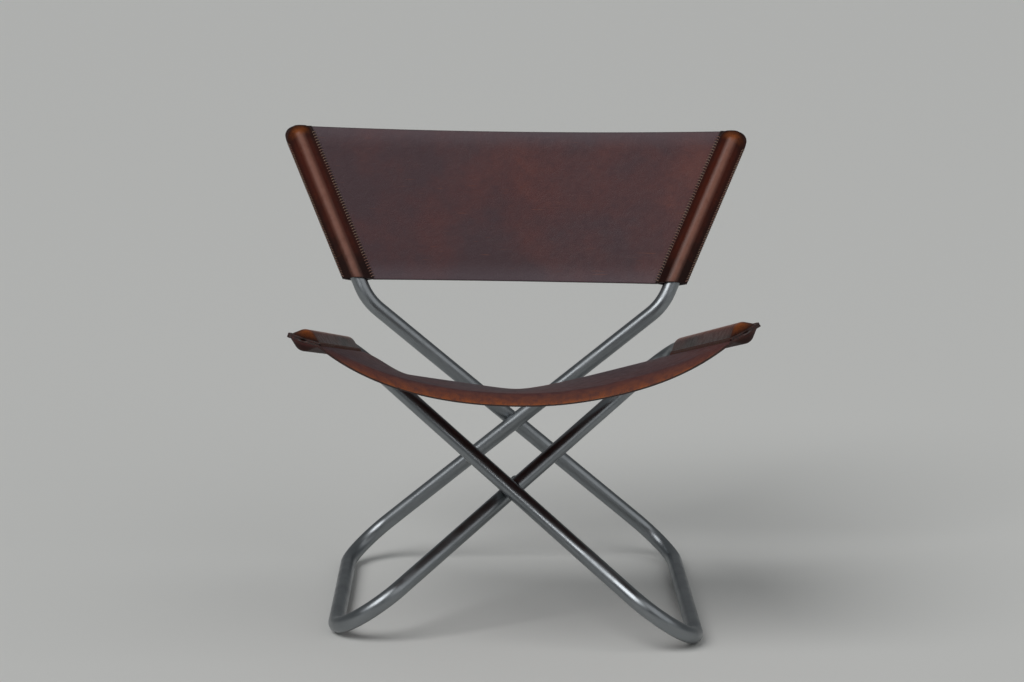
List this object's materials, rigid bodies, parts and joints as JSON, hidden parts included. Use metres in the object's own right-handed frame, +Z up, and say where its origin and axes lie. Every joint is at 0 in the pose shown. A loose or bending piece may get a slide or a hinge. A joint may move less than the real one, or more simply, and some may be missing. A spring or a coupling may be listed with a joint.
{
  "type": "folding sling lounge chair",
  "caption": "Low folding lounge chair: crossed bent steel tubes pivot like scissors and carry a stitched leather sling seat and a stitched leather back.",
  "frame": {"origin": "on the floor, on the chair's centre plane, between the two floor rails below the crossing legs", "axes": "+Z up, -Y the front of the chair where the sitter's legs go, +X to the sitter's left"},
  "size_m": [0.7523, 0.7447, 0.7211],
  "materials": {
    "steel_tube": "satin brushed",
    "steel_fittings": "satin turned",
    "black_plastic": "moulded matte",
    "bush_plastic": "moulded matte",
    "panel_leather": "waxed saddle leather, satin",
    "strip_leather": "wet-formed saddle leather, burnished",
    "thread": "waxed thread"
  },
  "bodies": {
    "outer_frame": {"outer_frame_tube": "steel_tube", "outer_back_plug": "black_plastic", "outer_seat_plug": "black_plastic", "back_strip_right": "strip_leather", "seat_strip_right": "strip_leather", "back_panel": "panel_leather", "seat_panel": "panel_leather", "front_pivot_bolt": "steel_fittings", "front_pivot_nut": "steel_fittings", "front_outer_boss": "steel_fittings", "rear_pivot_bush": "bush_plastic", "rear_saddle_washer": "steel_fittings"},
    "inner_frame": {"inner_frame_tube": "steel_tube", "inner_back_plug": "black_plastic", "inner_seat_plug": "black_plastic", "back_strip_left": "strip_leather", "seat_strip_left": "strip_leather", "front_pivot_bush": "bush_plastic", "front_saddle_washer": "steel_fittings", "front_inner_boss": "steel_fittings", "front_thrust_washer": "bush_plastic", "rear_pivot_bolt": "steel_fittings", "rear_pivot_nut": "steel_fittings", "rear_spacer": "bush_plastic"}
  },
  "joints": [
    {"name": "fold", "type": "hinge", "parent": "outer_frame", "child": "inner_frame", "pos_m": [0, -0.08156, 0.20429], "axis": [0, -0.9948, -0.1018], "range_deg": [0, 68], "deforming": ["back_panel", "seat_panel"]}
  ]
}
